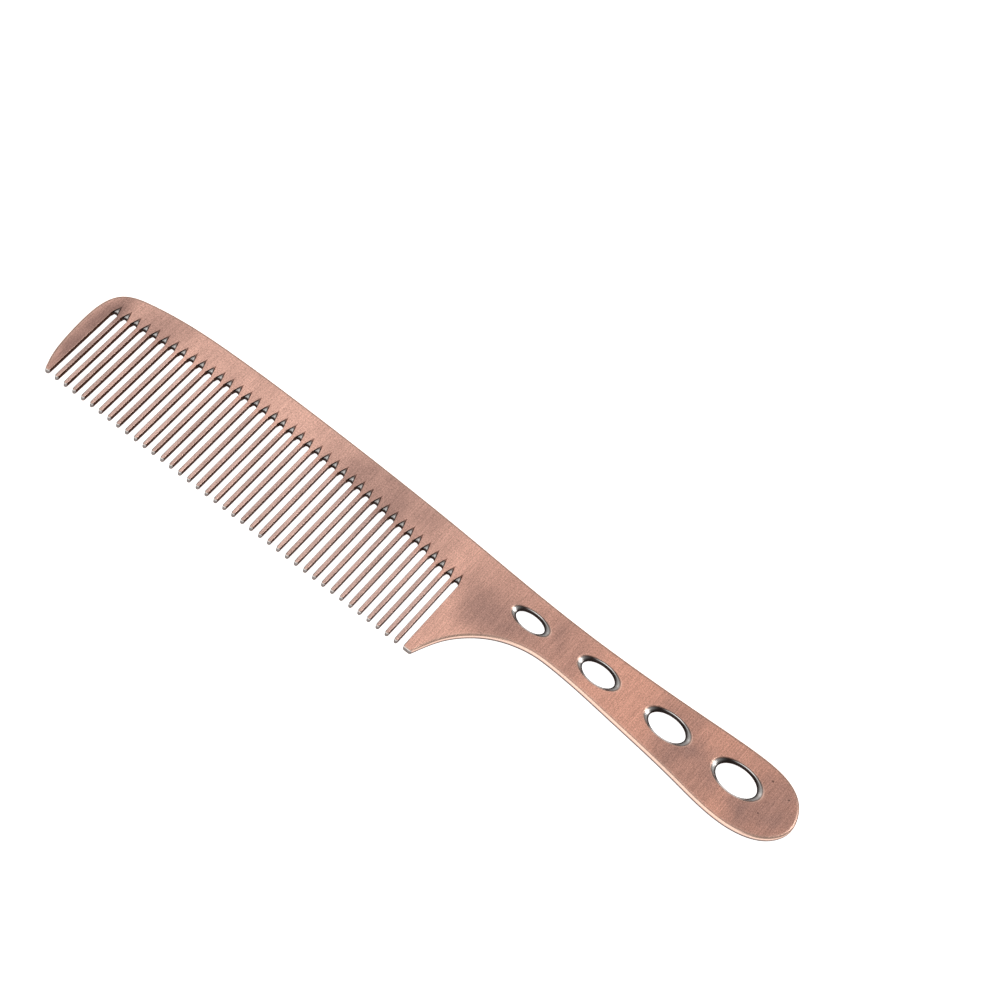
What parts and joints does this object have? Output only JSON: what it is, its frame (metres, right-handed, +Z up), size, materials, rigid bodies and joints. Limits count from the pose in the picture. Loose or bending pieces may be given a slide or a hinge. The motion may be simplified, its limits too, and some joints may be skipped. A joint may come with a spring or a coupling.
{
  "type": "hair comb",
  "caption": "Flat metal barber comb with an arched back, a long row of straight teeth between two guards, and a tapering handle with oval holes.",
  "frame": {"origin": "middle of the box of the comb, on its lower face", "axes": "+X along the comb from the front guard to the end of the handle, +Y from the tips of the teeth to the back, +Z up through the thickness of the plate"},
  "size_m": [0.22, 0.0365, 0.002],
  "materials": {
    "brushed_copper": "antique copper plate, brushed across the comb, with dark cloudy bands"
  },
  "bodies": {
    "root": {"spine": "brushed_copper", "front_guard_tooth": "brushed_copper", "rear_guard_tooth": "brushed_copper", "handle": "brushed_copper", "tooth_01": "brushed_copper", "tooth_02": "brushed_copper", "tooth_03": "brushed_copper", "tooth_04": "brushed_copper", "tooth_05": "brushed_copper", "tooth_06": "brushed_copper", "tooth_07": "brushed_copper", "tooth_08": "brushed_copper", "tooth_09": "brushed_copper", "tooth_10": "brushed_copper", "tooth_11": "brushed_copper", "tooth_12": "brushed_copper", "tooth_13": "brushed_copper", "tooth_14": "brushed_copper", "tooth_15": "brushed_copper", "tooth_16": "brushed_copper", "tooth_17": "brushed_copper", "tooth_18": "brushed_copper", "tooth_19": "brushed_copper", "tooth_20": "brushed_copper", "tooth_21": "brushed_copper", "tooth_22": "brushed_copper", "tooth_23": "brushed_copper", "tooth_24": "brushed_copper", "tooth_25": "brushed_copper", "tooth_26": "brushed_copper", "tooth_27": "brushed_copper", "tooth_28": "brushed_copper", "tooth_29": "brushed_copper", "tooth_30": "brushed_copper", "tooth_31": "brushed_copper", "tooth_32": "brushed_copper", "tooth_33": "brushed_copper", "tooth_34": "brushed_copper", "tooth_35": "brushed_copper", "tooth_36": "brushed_copper", "tooth_37": "brushed_copper", "tooth_38": "brushed_copper", "tooth_39": "brushed_copper"}
  },
  "joints": []
}
